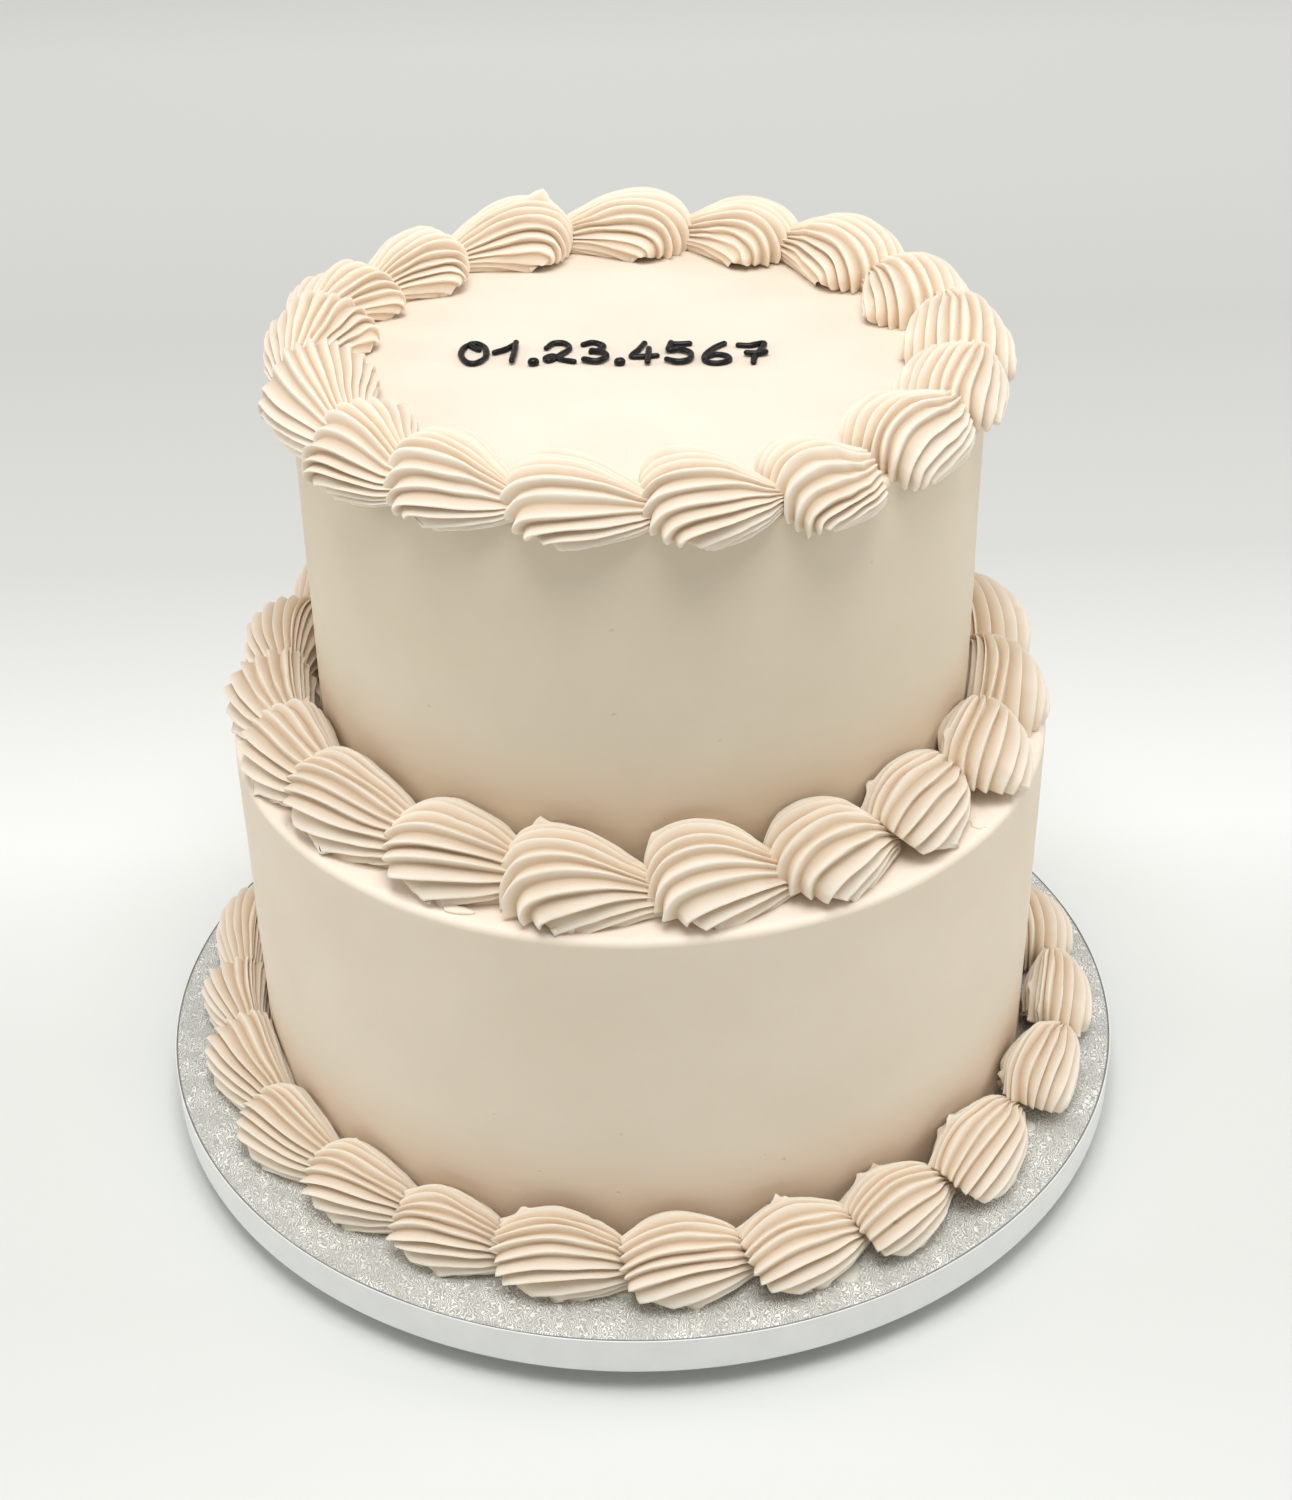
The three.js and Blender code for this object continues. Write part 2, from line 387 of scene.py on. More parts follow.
ledgeRing = {
    "prefix": "ledge_shell", "tier": "lower_tier", "seed": 23,
    "midRadius": 0.1090, "halfWidth": 0.0134, "height": 0.0250, "widestAt": 0.25,
    "wall": 0.0955, "overRim": 0, "tailShift": -0.0050, "headOver": 0.0040,
    "innerRaise": 45, "innerReach": 0.0020, "crown": 0.5,
    "flare": 0.0007, "tip": 0, "finRound": 0.14, "finDepth": 0.0030,
    "lean": [20, 42, 52, 55, 48, -5, 8, 8, 40, 15, -15, -20, -15, 10, -10, 20, 0, -15],
    "taper": [0.54, 0.54, 0.54, 0.52, 0.48, 0.44, 0.42, 0.40, 0.54, 0.56, 0.50, 0.50]
             + [0.48] * 6,
    "adjust": {
        1: {"outward": 0.0045},
        2: {"wide": 1.12, "outward": 0.0035},
        3: {"wide": 1.06, "outward": 0.0022},
        4: {"outward": 0.0010, "slide": -0.0020},
        5: {"tail": 0.0020, "wide": 1.05},
        6: {"tall": 0.89, "shift": -0.0015},
        7: {"shift": -0.0015},
        8: {"head": 0.0020, "shift": -0.0015},
        10: {"outward": 0.0022},
        11: {"outward": 0.0012},
        12: {"tall": 1.05, "outward": 0.0015},
        18: {"outward": 0.0045, "slide": 0.0020},
    },
}
baseRing = {
    "prefix": "base_shell", "tier": "lower_tier", "seed": 37,
    "midRadius": 0.1330, "halfWidth": 0.0112, "height": 0.0240, "widestAt": 0.34,
    "wall": 0.1218, "overRim": 0, "tailShift": -0.0052, "headOver": 0.0010,
    "innerRaise": 40, "innerReach": 0.0020, "crown": 0.5,
    "flare": 0.0007, "tip": 0, "finRound": 0.14, "finDepth": 0.0030,
    "lean": [25, 38, 48, 50, 55, 60, 58, 50, 46, 44, 22, 10, 0, -10, 10, 30, 20, -10, 0, 15, 0, 5],
    "taper": [0.50, 0.52, 0.50, 0.50, 0.43, 0.37, 0.35, 0.35, 0.42, 0.48] + [0.50] * 12,
    "adjust": {
        1: {"outward": 0.0020},
        2: {"wide": 1.08, "outward": 0.0012},
        3: {"wide": 1.10, "outward": 0.0018, "slide": -0.0018},
        4: {"wide": 1.06, "outward": 0.0010, "slide": -0.0010},
        5: {"wide": 1.08, "tall": 1.03, "outward": 0.0010, "shift": -0.0035},
        6: {"wide": 1.12, "tall": 1.07, "outward": 0.0014, "shift": -0.0030},
        7: {"head": 0.0010, "tail": -0.0010, "wide": 1.20, "tall": 1.10, "outward": 0.0018,
            "shift": -0.0035},
        8: {"head": 0.0018, "tail": -0.0010, "wide": 1.18, "tall": 1.06, "outward": 0.0030,
            "shift": -0.0040},
        9: {"head": 0.0015, "tail": -0.0030, "wide": 1.12, "tall": 1.06, "outward": 0.0027,
            "shift": -0.0040, "slide": -0.0020},
        10: {"head": 0.0030, "tail": -0.0020, "wide": 1.10, "tall": 1.06, "outward": 0.0030,
             "slide": -0.0032},
        11: {"head": 0.0010, "outward": 0.0018, "shift": 0.0015, "slide": -0.0005},
        12: {"outward": 0.0018, "shift": 0.0010},
        22: {"outward": 0.0040},
    },
}

# What every shell shares. Most pairs are ranges that chance picks from. In glidePower, headSmall
# and headEnds the second number is what a quite blunt head adds, and fullBlunt is the lean at which
# a head is that. twist and lastLean are in degrees and tilt is in flutes. uprightAt, glideFrom,
# headEnds, twistAt, rimRows and tipRows are places from head to tail, and firstHinge is a share of
# the length. innerRim is what a wall and a quite blunt head add to the rim near the wall.
nozzle = {
    "flutes": 23, "samples": 10, "crowding": 0.45, "straight": 0.6, "sharp": 1.5,
    "rows": 48, "rowCrowding": 1.12, "even": 0.10, "spread": 0.32, "droop": 0.30,
    "wander": 0.06, "turnPower": 1.1, "glidePower": (1.45, -0.35), "shrinkPower": 1.15,
    "headSmall": (0.12, 0.28), "headEnds": (0.15, 0.17), "twistAt": 0.4,
    "depthWander": 0.2, "crestShare": 0.35, "rimRows": 0.05, "tipRows": 0.10, "innerRim": (0.6, 0.9),
    "finReach": 0.0008, "bluntPower": 0.3, "headDeep": 0.004, "bedded": 0.0003,
    "hangFrom": 0.003, "hangWide": 0.010, "hangDown": 0.0045, "squeezeUp": 0.5,
    "tallness": (0.95, 1.04), "wideness": (0.96, 1.03), "usualLength": 0.032,
    "finTall": (0.55, 1.35), "finLong": (0.0, 1.7), "finShift": (-0.16, 0.16),
    "twist": (-5, 8), "tilt": (-0.5, 0.5), "lastLean": 98, "fullBlunt": 55,
    "uprightAt": 0.62, "glideFrom": 0.22, "firstHinge": 0.42, "pastTail": 0.005,
    "sink": 0.0007, "grain": 0.00012, "swell": 0.03, "hingeUp": 0.0020,
    "peakTall": 0.0030, "peakWide": 0.0016, "spotSteps": (0.0036, 0.05),
    "nubs": (2, 5), "nubTall": (0.0016, 0.0032), "nubWide": (0.0009, 0.0013),
    "nubCrest": (1, 6), "nubRow": (0.02, 0.28),
    "pits": (0, 3), "pitDeep": 0.0009, "pitWide": 0.0007, "pitSteps": (0.004, 0.06),
    "pitCrest": (-5, 5), "pitRow": (0.1, 0.7),
}


# Where the shells of a ring lie: the first angle and the span of each node about its tier's axis.
def readRing(ring):
    low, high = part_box(ring["tier"])
    centre = np.array([(low.x + high.x) / 2, (low.y + high.y) / 2])
    names = sorted(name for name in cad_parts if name.startswith(ring["prefix"]))
    shells = []
    for name, lean, taper in zip(names, ring["lean"], ring["taper"]):
        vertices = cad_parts[name].data.vertices
        flat = np.empty(len(vertices) * 3, np.float32)
        vertices.foreach_get("co", flat)
        points = flat.reshape(-1, 3).astype(float)
        offset = points[:, :2] - centre
        middle = math.atan2(*offset.mean(0)[::-1])
        angle = np.arctan2(offset[:, 1], offset[:, 0]) - middle
        angle = (angle + math.pi) % (2 * math.pi) - math.pi
        shells.append({"name": name, "start": middle + angle.min(), "span": np.ptp(angle),
                       "floor": points[:, 2].min() - nozzle["bedded"], "centre": centre,
                       "lean": lean, "taper": taper,
                       "adjust": ring["adjust"].get(len(shells) + 1, {})})
    return shells


# A round spot on a shell, 1 in its middle and falling as e to the minus squared distance over
# squared radius. The steps are the metres that one crest and the whole run of rows count for.
def roundSpot(u, t, place, radius, steps):
    far = ((u - place[0]) * steps[0]) ** 2 + ((t - place[1]) * steps[1]) ** 2
    return np.exp(-far / radius ** 2)


# How low each column of a star section lies between its crests, 0 to 1, and its crest number. The
# columns crowd towards the crests. Between crests the drop is a mix of a straight slope and the
# absolute sine of the crest number times pi, rounded where it meets the crest.
def starColumns(finRound):
    flutes, samples, straight = nozzle["flutes"], nozzle["samples"], nozzle["straight"]
    local = np.linspace(-0.5, 0.5, samples, endpoint=False)
    local = local - nozzle["crowding"] * np.sin(4 * math.pi * local) / (4 * math.pi)
    u = np.repeat(np.arange(flutes), samples) - (flutes - 1) / 2 + np.tile(local, flutes)
    slope = 2 * np.abs(u - np.round(u))
    wave = slope + (1 - straight) * (np.abs(np.sin(math.pi * u)) - slope)
    valley = (np.sqrt(wave ** 2 + finRound ** 2) - finRound) / (math.sqrt(1 + finRound ** 2) - finRound)
    return u, valley


# A value that goes with the head: the first of a pair, plus the second times how blunt it is.
def byHead(key, blunt):
    return nozzle[key][0] + nozzle[key][1] * blunt


# One piped shell. A star section, u across its crests, stands on a hinge on the surface. From
# head to tail, t from 0 to 1, it swings from its first lean to upright and past, and meanwhile
# glides along and shrinks. The angle phi round the section is u flutes, closer together towards
# the tail, nudged to space the crests evenly and to let them droop. A point lies at half width
# times cos phi and at widest height plus rise times sin phi, both times the size, and is moved
# along the normal of that ellipse: in by the flute depth times valley, and out or in for uneven
# crests, flared or rounded crest ends, nubs, pits and a torn tip. crown moves the top inwards. Each
# point leans ahead of the hinge by its height, so a round head fans out from the hinge, and in a
# blunt head all points lean alike. A wall squeezes the shell, and over a rim it hangs down.
def shellGrid(ring, shell, rng):
    adjust = shell["adjust"]
    nubs = np.random.default_rng(int(shell["name"][-2:]) + 100 * ring["seed"])
    length = shell["span"] * ring["midRadius"] + adjust.get("tail", 0)
    blunt = min(1, max(0, shell["lean"] / nozzle["fullBlunt"]))
    flutes = nozzle["flutes"]
    flute = 2 * math.pi / flutes
    height = ring["height"] * rng.uniform(*nozzle["tallness"])
    height = height * min(1.05, (length / nozzle["usualLength"]) ** 0.3) * adjust.get("tall", 1)
    halfWidth = ring["halfWidth"] * rng.uniform(*nozzle["wideness"]) * adjust.get("wide", 1)
    widest = ring["widestAt"] * height
    rise = height - widest

    u, valley = starColumns(ring["finRound"])
    crest = 1 - valley ** nozzle["sharp"]
    finTall, finLong, finShift = (np.repeat(rng.uniform(*nozzle[key], flutes), nozzle["samples"])
                                  for key in ("finTall", "finLong", "finShift"))

    t = np.linspace(0, 1, nozzle["rows"])[:, None] ** nozzle["rowCrowding"]
    turned = np.sin(0.5 * math.pi * np.clip(t / nozzle["uprightAt"], 0, 1)) ** nozzle["turnPower"]
    glideStart = nozzle["glideFrom"] * (1 - blunt)
    glide = np.clip((t - glideStart) / (1 - glideStart), 0, 1) ** byHead("glidePower", blunt)
    firstHinge = nozzle["firstHinge"] * length
    hinge = firstHinge + (length + nozzle["pastTail"] - firstHinge) * glide
    along = (hinge - firstHinge) / (length - firstHinge)
    headward = 1 - np.clip(t / byHead("headEnds", blunt), 0, 1)
    size = 1 - (1 - shell["taper"]) * along ** nozzle["shrinkPower"]
    size = size * (1 - byHead("headSmall", blunt) * headward ** 2)

    twist = math.radians(rng.uniform(*nozzle["twist"])) * (t - nozzle["twistAt"])
    tilt = rng.uniform(*nozzle["tilt"]) * flute
    fan = 1 + nozzle["spread"] * along
    phi = math.pi / 2 + (u + finShift * (1 - valley)) * flute / fan + tilt + twist
    phi = phi - nozzle["even"] * np.sin(2 * phi - math.pi)
    phi = phi + nozzle["wander"] * slowNoise(rng, u * 0.5, t * 3.0)
    phi = phi - nozzle["droop"] * flute * (1 - valley) * np.cos(phi)
    inner = smoothStep((phi - 0.5 * math.pi) / 0.8)
    lean = shell["lean"] + ring["innerRaise"] * (1 - blunt) * smoothStep((phi - 1.7) / 1.0)
    opened = np.radians(lean + (nozzle["lastLean"] - lean) * turned)

    depth = ring["finDepth"] * size * (1 + nozzle["depthWander"] * slowNoise(rng, phi * 3.0, t * 1.5))
    if not ring["wall"]:
        depth = depth * (1 - 0.7 * smoothStep((phi - 2.75) / 0.3))
    atWall, atBlunt = nozzle["innerRim"]
    rim = np.exp(-t / nozzle["rimRows"]) * (1 + (atBlunt * blunt + atWall * (ring["wall"] > 0)) * inner)
    ending = np.clip(1 - t / nozzle["tipRows"], 0, 1)
    push = (finTall - 1) * nozzle["crestShare"] * depth * crest
    push = push + ring["flare"] * finLong * crest * rim
    push = push - ring["tip"] * (1 - np.sqrt(1 - ending ** 2)) * crest * smoothStep((phi - 0.2) / 0.6)
    push = push + nozzle["grain"] * slowNoise(rng, u * 1.1, t * 16)
    push = push - depth * valley
    swell = 1 + nozzle["swell"] * slowNoise(rng, phi * 1.3, t * 3.0)
    if "peak" in adjust:
        spot = roundSpot(u, t, adjust["peak"], nozzle["peakWide"], nozzle["spotSteps"])
        push = push + nozzle["peakTall"] * spot
    if ring["wall"]:
        for nub in range(nubs.integers(*nozzle["nubs"])):
            place = nubs.uniform(*nozzle["nubCrest"]), nubs.uniform(*nozzle["nubRow"])
            tall, wide = nubs.uniform(*nozzle["nubTall"]), nubs.uniform(*nozzle["nubWide"])
            push = push + tall * roundSpot(u, t, place, wide, nozzle["spotSteps"])
    for pit in range(rng.integers(*nozzle["pits"])):
        place = rng.uniform(*nozzle["pitCrest"]), rng.uniform(*nozzle["pitRow"])
        push = push - nozzle["pitDeep"] * roundSpot(u, t, place, nozzle["pitWide"], nozzle["pitSteps"])

    crown = ring["crown"] * halfWidth
    sideReach = np.where(np.cos(phi) > 0, halfWidth + crown, halfWidth - crown + ring["innerReach"])
    normalSide = np.cos(phi) / sideReach
    normalUp = np.sin(phi) / rise
    norm = np.hypot(normalSide, normalUp)
    across = (sideReach * np.cos(phi) - crown) * size * swell + push * normalSide / norm
    above = (widest + rise * np.sin(phi)) * size * swell + push * normalUp / norm

    # how far each point leans ahead of the hinge, as a share of the head's reach
    hingeUp = nozzle["hingeUp"] * (1 - 0.5 * smoothStep(t / 0.5))
    share = (above - hingeUp) / height
    held = np.sin(0.5 * math.pi * np.clip(share, 0, 1)) ** nozzle["bluntPower"]
    rounded = np.where(share > 0, held, share)
    share = share * (1 - blunt) + rounded * blunt
    reach = firstHinge + ring["headOver"] + adjust.get("head", 0)
    lead = np.cos(opened) / math.cos(math.radians(max(0, shell["lean"])))
    forward = hinge - reach * share * lead - nozzle["finReach"] * finLong * crest * rim
    lift = hingeUp + (above - hingeUp) * np.sin(opened)
    shift = adjust.get("shift", ring["tailShift"]) * np.clip(along, 0, 1)
    radius = ring["midRadius"] + adjust.get("outward", 0) + shift + across

    # the head closes in a few shrinking rows, drawn inwards where it is blunt
    closing = np.array([0.25, 0.55, 0.80, 0.93])[:, None]
    inward = nozzle["headDeep"] * blunt * (1 - closing ** 2)
    forward, radius, lift = (
        np.concatenate([part[:1].mean() + (part[:1] - part[:1].mean()) * closing, part])
        for part in (forward, radius, lift))
    forward[:len(closing)] += inward

    surface = np.full_like(radius, -nozzle["sink"])
    if ring["overRim"]:
        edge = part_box(ring["tier"])[1].x - shell["centre"][0] - nozzle["hangFrom"]
        over = smoothStep((radius - edge) / nozzle["hangWide"])
        lift = lift - ring["overRim"] * over
        run = (forward - forward.min()) / np.ptp(forward)
        hem = smoothStep(run / 0.10) * (1 - smoothStep((run - 0.15) / 0.8))
        hem = hem * (1 + 0.5 * slowNoise(rng, run * 9))
        surface = surface - (nozzle["hangDown"] + ring["skirt"] * hem) * over
    if ring["wall"]:
        squeezed = np.maximum(0, ring["wall"] - radius)
        lift = lift + nozzle["squeezeUp"] * squeezed * (lift > 0.004)
        radius = radius + squeezed
    lift = np.maximum(lift, surface)
    angle = shell["start"] + (forward + adjust.get("slide", 0)) / ring["midRadius"]
    grid = np.stack([shell["centre"][0] + radius * np.cos(angle),
                     shell["centre"][1] + radius * np.sin(angle),
                     shell["floor"] + lift], -1)
    return grid, np.repeat(1 - valley[None], len(grid), 0)


# Pipes a ring, each shell in the place of its node.
def makeRing(ring):
    rng = np.random.default_rng(ring["seed"])
    triangles = 0
    for shell in readRing(ring):
        name = shell["name"].replace("_shell_", "Shell")
        mesh = tubeMesh(name, *shellGrid(ring, shell, rng))
        addPiece(name, mesh, pipedIcing, "piped_icing", shell["name"])
        triangles += len(mesh.loops) - 2 * len(mesh.polygons)
    print(ring["prefix"], "ring done,", triangles, "triangles")


for pipedRing in (topRing, ledgeRing, baseRing):
    makeRing(pipedRing)

# rim and foot are radii, middle is the radius of the first ring of points. waver and dish are how
# far the side and the top wander, with waves per metre round and up the side and on the top.
tierLook = {
    "columns": 400, "topRows": 34, "rimRows": 12, "sideRows": 60, "bendRows": 4, "underRows": 8,
    "rim": 0.0022, "foot": 0.0006, "middle": 0.004, "waver": 0.00030, "sideWaves": (18, 22),
    "dish": 0.00025, "topWaves": 25,
}


# A profile of radius and height turned about an upright axis.
def turnedGrid(centre, radius, height, columns):
    around = np.linspace(0, 2 * math.pi, columns, endpoint=False)
    return np.stack([centre[0] + radius[:, None] * np.cos(around),
                     centre[1] + radius[:, None] * np.sin(around),
                     np.repeat(height[:, None], columns, 1)], -1)


# A smooth tier: a flat top, a quarter-round rim, a straight side and a small round foot. The
# radius and the top wander by slow noise of the place, as icing smoothed by hand does.
def makeTier(node, material, seed):
    rng = np.random.default_rng(seed)
    low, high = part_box(node)
    centre = ((low.x + high.x) / 2, (low.y + high.y) / 2)
    full = (high.x - low.x) / 2
    rim, foot, middle = tierLook["rim"], tierLook["foot"], tierLook["middle"]
    topRadius = np.linspace(middle, full - rim, tierLook["topRows"], endpoint=False)
    bend = np.linspace(0, math.pi / 2, tierLook["rimRows"], endpoint=False)
    down = np.linspace(high.z - rim, low.z + foot, tierLook["sideRows"], endpoint=False)
    footBend = np.linspace(0, math.pi / 2, tierLook["bendRows"])
    under = np.linspace(full - foot, middle, tierLook["underRows"])[1:]
    radius = np.concatenate([topRadius, full - rim + rim * np.sin(bend), np.full(len(down), full),
                             full - foot + foot * np.cos(footBend), under])
    height = np.concatenate([np.full(len(topRadius), high.z), high.z - rim + rim * np.cos(bend), down,
                             low.z + foot - foot * np.sin(footBend), np.full(len(under), low.z)])
    grid = turnedGrid(centre, radius, height, tierLook["columns"])
    x, y, z = np.moveaxis(grid - (*centre, low.z), -1, 0)
    outward = np.hypot(x, y)
    side = smoothStep((outward - full + 2 * rim) / rim) * smoothStep((z - 0.001) / 0.01)
    across, upward = tierLook["sideWaves"]
    waver = tierLook["waver"] * (slowNoise(rng, x * across, y * across, z * upward) - 0.6) * side
    grid[..., 0] += waver * x / outward
    grid[..., 1] += waver * y / outward
    flat = smoothStep((z - (high.z - low.z) + 2 * rim) / rim)
    across = tierLook["topWaves"]
    grid[..., 2] += tierLook["dish"] * (slowNoise(rng, x * across, y * across) - 0.8) * flat
    addPiece(node.replace("_t", "T"), tubeMesh(node, grid), material, "smooth_icing", node)
    print(node, "done")


makeTier("upper_tier", upperIcing, 5)
makeTier("lower_tier", lowerIcing, 6)

# round is the radius of both edges. seam is how far in from the edge the seam starts, and lip how
# far its inner edge lies below the top. lumps and ripple are how far the top and the edge wander,
# and lumpWaves and rippleWaves their waves per metre. topRings, under the cake, and underRings are
# the radii of single rings of points.
boardLook = {
    "columns": 720, "round": 0.0004, "seam": 0.0008, "seamWide": 0.00035, "seamDeep": 0.0005,
    "seamSlope": 0.00005, "lip": 0.0001, "lumps": 0.00016, "lumpWaves": 60, "ripple": 0.00008,
    "rippleWaves": 14, "topRings": (0.02, 0.06, 0.10), "shownFrom": 0.118, "shownRings": 24,
    "bandRings": 7, "bandEnds": 0.0006, "bendRings": 5, "underRings": (0.14, 0.10, 0.04),
}


# Pairs of radius and height, either of which may be one number for all.
def pairs(radius, height):
    return np.stack(np.broadcast_arrays(radius, height), -1)


# The drum board: an embossed foil top inside a narrow seam, and a band of plain foil folded over
# the edge. One closed mesh, a profile turned about the upright axis, whose faces take their finish
# by the row of the profile they lie in. The top and the edge wander by slow noise of the place.
def makeBoard():
    rng = np.random.default_rng(8)
    low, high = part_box("board")
    full = (high.x - low.x) / 2
    top, bottom = high.z, low.z
    edge, columns = boardLook["round"], boardLook["columns"]
    seamIn = full - boardLook["seam"]
    seamOut = seamIn + boardLook["seamWide"]
    seamFloor, seamLip = top - boardLook["seamDeep"], top - boardLook["lip"]
    seamSlope, bandEnds = boardLook["seamSlope"], boardLook["bandEnds"]
    shown = np.linspace(boardLook["shownFrom"], seamIn - 0.0002, boardLook["shownRings"])
    topBend = np.linspace(0.1, math.pi / 2, boardLook["bendRings"])
    footBend = np.linspace(0.2, math.pi / 2, boardLook["bendRings"])
    topRows = pairs(np.concatenate([boardLook["topRings"], shown]), top)
    seamRows = pairs([seamIn, seamIn + seamSlope, seamOut - seamSlope, seamOut],
                     [seamLip, seamFloor, seamFloor, seamLip])
    bandRows = np.concatenate([
        pairs(full - edge + edge * np.sin(topBend), top - seamSlope - edge + edge * np.cos(topBend)),
        pairs(full, np.linspace(top - bandEnds, bottom + bandEnds, boardLook["bandRings"])),
        pairs(full - edge + edge * np.cos(footBend), bottom + edge - edge * np.sin(footBend)),
        pairs(boardLook["underRings"], bottom)])
    profile = np.concatenate([topRows, seamRows, bandRows])
    grid = turnedGrid((0, 0), profile[:, 0], profile[:, 1], columns)
    x, y = grid[..., 0], grid[..., 1]
    outward = np.hypot(x, y)
    topFace = (grid[..., 2] > top - 0.00001) & (outward < seamIn - 0.0001)
    across = boardLook["lumpWaves"]
    lumps = boardLook["lumps"] * (slowNoise(rng, x * across, y * across, waves=6) - 1)
    grid[..., 2] += np.where(topFace, lumps, 0)
    across = boardLook["rippleWaves"]
    ripple = boardLook["ripple"] * (slowNoise(rng, x * across, y * across, waves=6) - 1)
    ripple = ripple * (outward > full - 0.0001)
    grid[..., 0] += ripple * x / outward
    grid[..., 1] += ripple * y / outward
    mesh = tubeMesh("board", grid)
    addPiece("cakeBoard", mesh, embossedFoil, "silver_foil", "board")
    mesh.materials.append(bandFoil)
    mesh.materials.append(seamDark)
    seamStart = len(topRows) - 1
    bandStart = seamStart + len(seamRows)
    finish = np.zeros(len(mesh.polygons), np.int32)
    finish[seamStart * columns:bandStart * columns] = 2
    finish[bandStart * columns:(len(profile) - 1) * columns] = 1
    mesh.polygons.foreach_set("material_index", finish)
    print("board done")


makeBoard()


# Strokes of each figure in a cell one wide and one high, as the bag draws them.
figureStrokes = {
    "0": [[(0.42, 0.96), (0.15, 0.80), (0.05, 0.42), (0.28, 0.06), (0.62, 0.03), (0.93, 0.32),
           (0.90, 0.75), (0.62, 0.97), (0.34, 0.93), (0.52, 0.76), (0.66, 0.68)]],
    "1": [[(0.02, 0.52), (0.35, 0.66), (0.72, 0.92)], [(0.74, 0.95), (0.70, 0.50), (0.62, 0.05)]],
    "2": [[(0.08, 0.72), (0.30, 0.95), (0.68, 0.95), (0.84, 0.70), (0.55, 0.38), (0.18, 0.10),
           (0.06, 0.22), (0.30, 0.32), (0.62, 0.14), (0.98, 0.06)]],
    "3": [[(0.10, 0.88), (0.45, 0.98), (0.80, 0.82), (0.66, 0.60), (0.38, 0.52)],
          [(0.40, 0.53), (0.80, 0.44), (0.90, 0.20), (0.55, 0.02), (0.12, 0.10)]],
    "4": [[(0.55, 0.98), (0.32, 0.66), (0.06, 0.34), (0.45, 0.33), (0.96, 0.38)],
          [(0.70, 0.66), (0.66, 0.34), (0.62, 0.02)]],
    "5": [[(0.88, 0.95), (0.58, 0.93), (0.26, 0.94)],
          [(0.26, 0.93), (0.16, 0.58), (0.50, 0.62), (0.88, 0.44), (0.82, 0.12), (0.45, 0.01),
           (0.08, 0.12)]],
    "6": [[(0.80, 0.97), (0.48, 0.76), (0.14, 0.40), (0.16, 0.10), (0.50, 0.01), (0.88, 0.14),
           (0.84, 0.36), (0.50, 0.44), (0.22, 0.32)]],
    "7": [[(0.06, 0.86), (0.42, 0.84), (0.88, 0.95), (0.74, 0.62), (0.52, 0.30), (0.46, 0.02)],
          [(0.28, 0.42), (0.56, 0.40), (0.88, 0.46)]],
    ".": [[(0.35, 0.04), (0.55, 0.05)]],
}
# start is the first figure's lower left corner from the tier's axis, and slant the line's slope.
# uneven is the range of a figure's width, drop how far it may stand off the line, and swell how
# far a bead's radius changes. crossing lifts the second stroke of a figure over the first.
writing = {
    "figures": "01.23.4567", "start": (-0.0500, -0.0010), "slant": -0.060, "height": 0.0140,
    "width": 0.0083, "dotWidth": 0.0026, "gap": 0.0018, "dotGap": 0.8, "thick": 0.00092,
    "dotThick": 0.0014, "uneven": (0.94, 1.06), "drop": 0.0006, "steps": 9, "sides": 14,
    "sink": 0.0002, "crossing": 0.0004, "raised": 0.62, "flattened": 0.85, "swell": 0.10,
}


# A smooth curve through points: on each stretch a cubic whose slopes are half the difference of
# the neighbours on either side.
def curveThrough(points, steps):
    points = np.asarray(points, float)
    padded = np.concatenate([[2 * points[0] - points[1]], points, [2 * points[-1] - points[-2]]])
    a, b, c, d = (padded[i:len(padded) - 3 + i, None, :] for i in range(4))
    t = np.linspace(0, 1, steps, endpoint=False)[None, :, None]
    curve = b + 0.5 * t * (c - a + t * (2 * a - 5 * b + 4 * c - d + t * (3 * (b - c) + d - a)))
    return np.concatenate([curve.reshape(-1, 2), points[-1:]])


# A bead of icing along a flat curve: a circle carried along it, a little flattened, whose radius
# swells by slow noise of the length and closes as a sine at both ends.
def beadGrid(curve, surface, thick, rng):
    slope = np.gradient(curve, axis=0)
    slope /= np.linalg.norm(slope, axis=1)[:, None]
    step = np.linalg.norm(np.diff(curve, axis=0), axis=1)
    run = np.concatenate([[0], np.cumsum(step)])
    radius = thick * (1 + writing["swell"] * slowNoise(rng, run * 500))
    closing = np.linspace(0.12, math.pi / 2, 6)
    caps = np.sin(closing)
    back = thick * np.cos(closing)
    start = curve[0] - slope[0] * back[:, None]
    end = curve[-1] + slope[-1] * back[::-1, None]
    path = np.concatenate([start[:-1], curve, end[1:]])
    added = len(closing) - 1
    slope = np.concatenate([np.repeat(slope[:1], added, 0), slope, np.repeat(slope[-1:], added, 0)])
    radius = np.concatenate([radius[0] * caps[:-1], radius, radius[-1] * caps[::-1][1:]])
    around = np.linspace(0, 2 * math.pi, writing["sides"], endpoint=False)
    sideways = np.stack([-slope[:, 1], slope[:, 0]], -1)
    flat = path[:, None] + sideways[:, None] * (radius[:, None] * np.cos(around))[..., None]
    lift = surface + thick * writing["raised"] + radius[:, None] * writing["flattened"] * np.sin(around)
    return np.concatenate([flat, lift[..., None]], -1)


